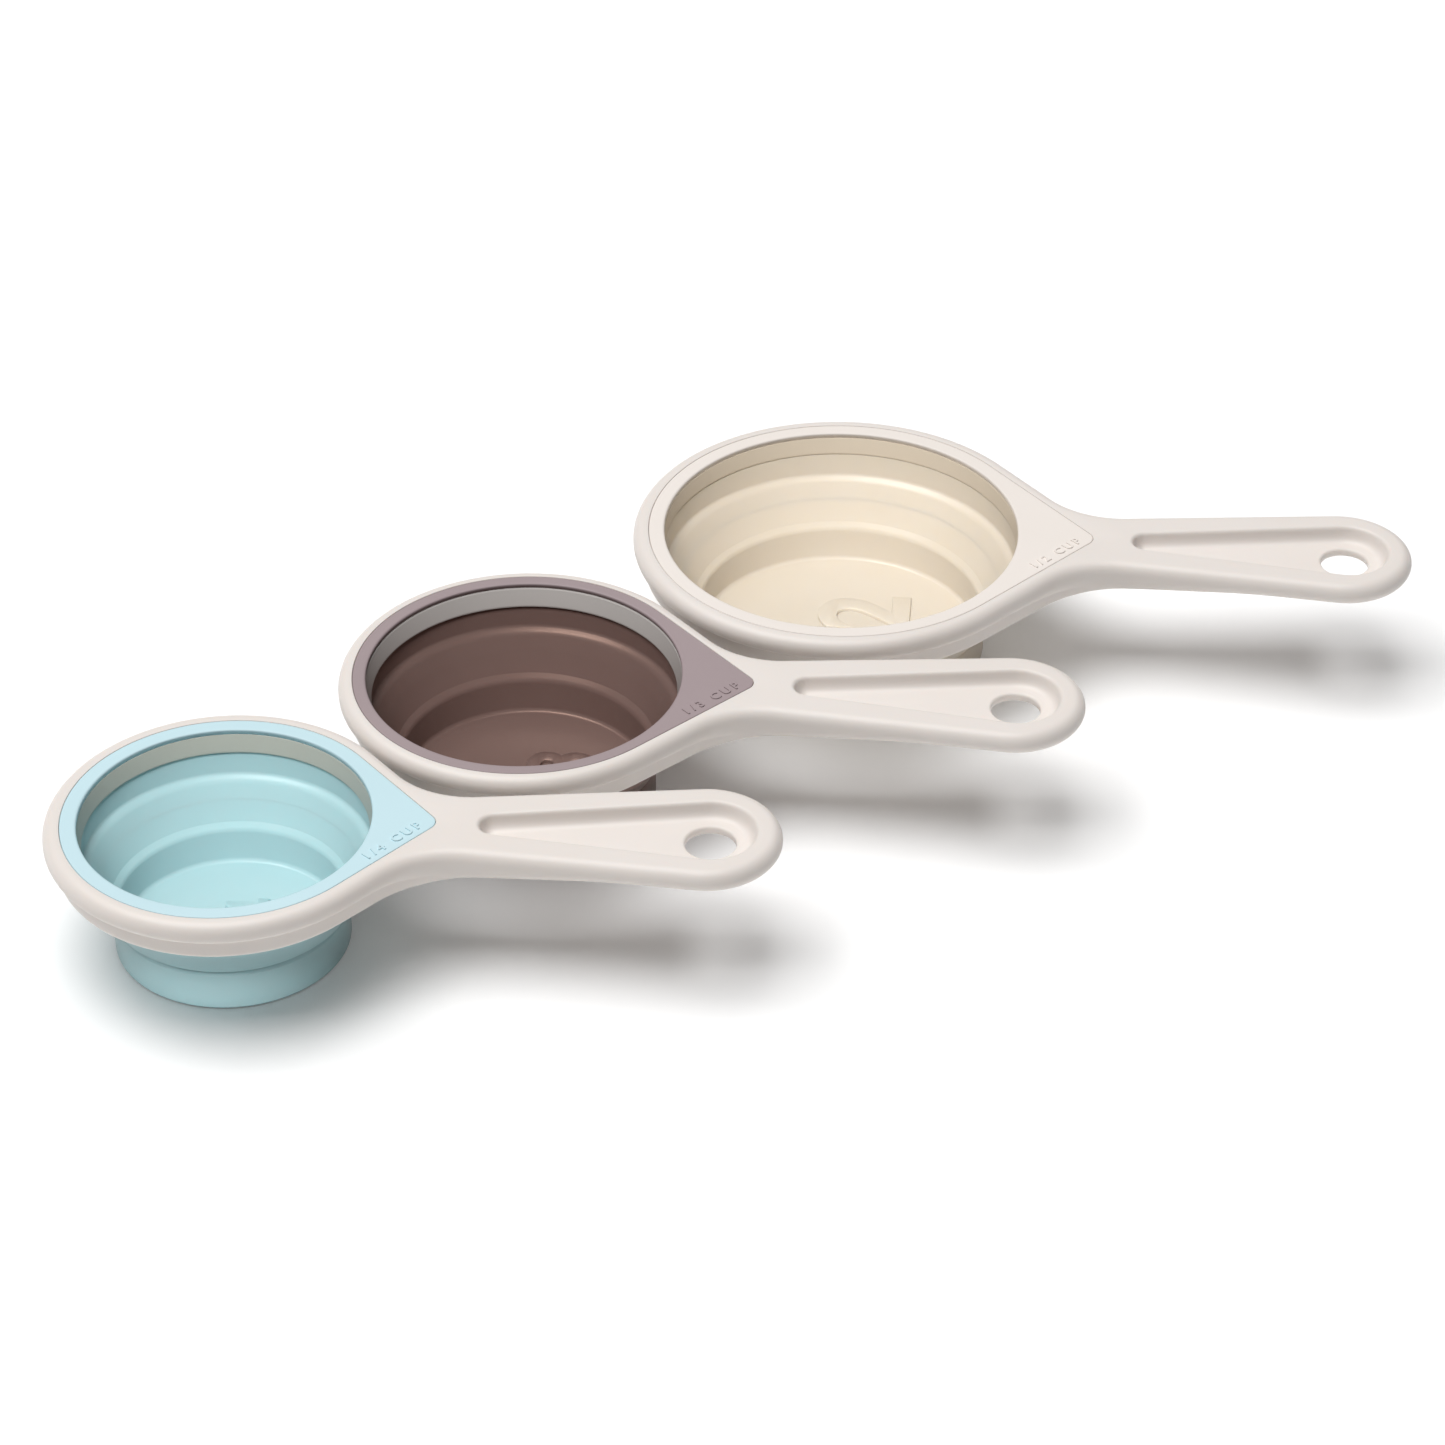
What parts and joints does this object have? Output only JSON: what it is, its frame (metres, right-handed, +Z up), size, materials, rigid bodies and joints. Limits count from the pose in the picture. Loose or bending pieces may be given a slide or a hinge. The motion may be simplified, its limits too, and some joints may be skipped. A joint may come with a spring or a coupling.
{
  "type": "collapsible measuring cup set",
  "caption": "Collapsible measuring cups in graded sizes: stiff handled frames with coloured top panels and folding silicone bowls, standing in a diagonal row.",
  "frame": {"origin": "centre of the medium cup's foot, on the surface that the cups stand on", "axes": "+Z up along the bowls' axes, +X along the handles from bowl to hang hole, +Y from the small cup's side towards the large cup's side"},
  "size_m": [0.2916, 0.2079, 0.0316],
  "materials": {
    "frame_plastic": "fine matt moulded polypropylene, warm off-white",
    "collar_plastic": "satin moulded plastic, light warm grey",
    "panel_blue": "soft matt, pale blue",
    "panel_mauve": "soft matt, mauve grey",
    "panel_cream": "soft matt, cream",
    "silicone_blue": "satin silicone, pale turquoise",
    "silicone_brown": "satin silicone, grey brown",
    "silicone_cream": "satin silicone, cream"
  },
  "bodies": {
    "small_frame": {"small_frame": "frame_plastic", "small_top_panel": "panel_blue", "small_collar": "collar_plastic", "small_rim_band": "silicone_blue", "small_upper_fold": "silicone_blue"},
    "small_middle": {"small_middle_band": "silicone_blue"},
    "small_base": {"small_lower_fold": "silicone_blue", "small_bowl_base": "silicone_blue"},
    "medium_frame": {"medium_frame": "frame_plastic", "medium_top_panel": "panel_mauve", "medium_collar": "collar_plastic", "medium_rim_band": "silicone_brown", "medium_upper_fold": "silicone_brown"},
    "medium_middle": {"medium_middle_band": "silicone_brown"},
    "medium_base": {"medium_lower_fold": "silicone_brown", "medium_bowl_base": "silicone_brown"},
    "large_frame": {"large_frame": "frame_plastic", "large_top_panel": "panel_cream", "large_collar": "collar_plastic", "large_rim_band": "silicone_cream", "large_upper_fold": "silicone_cream"},
    "large_middle": {"large_middle_band": "silicone_cream"},
    "large_base": {"large_lower_fold": "silicone_cream", "large_bowl_base": "silicone_cream"}
  },
  "joints": [
    {"name": "small_middle_slide", "type": "slide", "parent": "small_frame", "child": "small_middle", "axis": [0, 0, 1], "range_m": [0, 0.007], "deforming": ["small_upper_fold"]},
    {"name": "small_base_slide", "type": "slide", "parent": "small_middle", "child": "small_base", "axis": [0, 0, 1], "range_m": [0, 0.014], "deforming": ["small_lower_fold"]},
    {"name": "medium_middle_slide", "type": "slide", "parent": "medium_frame", "child": "medium_middle", "axis": [0, 0, 1], "range_m": [0, 0.007], "deforming": ["medium_upper_fold"]},
    {"name": "medium_base_slide", "type": "slide", "parent": "medium_middle", "child": "medium_base", "axis": [0, 0, 1], "range_m": [0, 0.014], "deforming": ["medium_lower_fold"]},
    {"name": "large_middle_slide", "type": "slide", "parent": "large_frame", "child": "large_middle", "axis": [0, 0, 1], "range_m": [0, 0.007], "deforming": ["large_upper_fold"]},
    {"name": "large_base_slide", "type": "slide", "parent": "large_middle", "child": "large_base", "axis": [0, 0, 1], "range_m": [0, 0.014], "deforming": ["large_lower_fold"]},
    {"name": "small_lift_off", "type": "slide", "parent": "medium_frame", "child": "small_frame", "axis": [0, 0, 1], "range_m": [0, 0.08]},
    {"name": "large_lift_off", "type": "slide", "parent": "medium_frame", "child": "large_frame", "axis": [0, 0, 1], "range_m": [0, 0.08]}
  ],
  "couplings": [
    {"joint": "small_middle_slide", "follows": "small_base_slide", "ratio": 0.5},
    {"joint": "medium_middle_slide", "follows": "medium_base_slide", "ratio": 0.5},
    {"joint": "large_middle_slide", "follows": "large_base_slide", "ratio": 0.5}
  ]
}
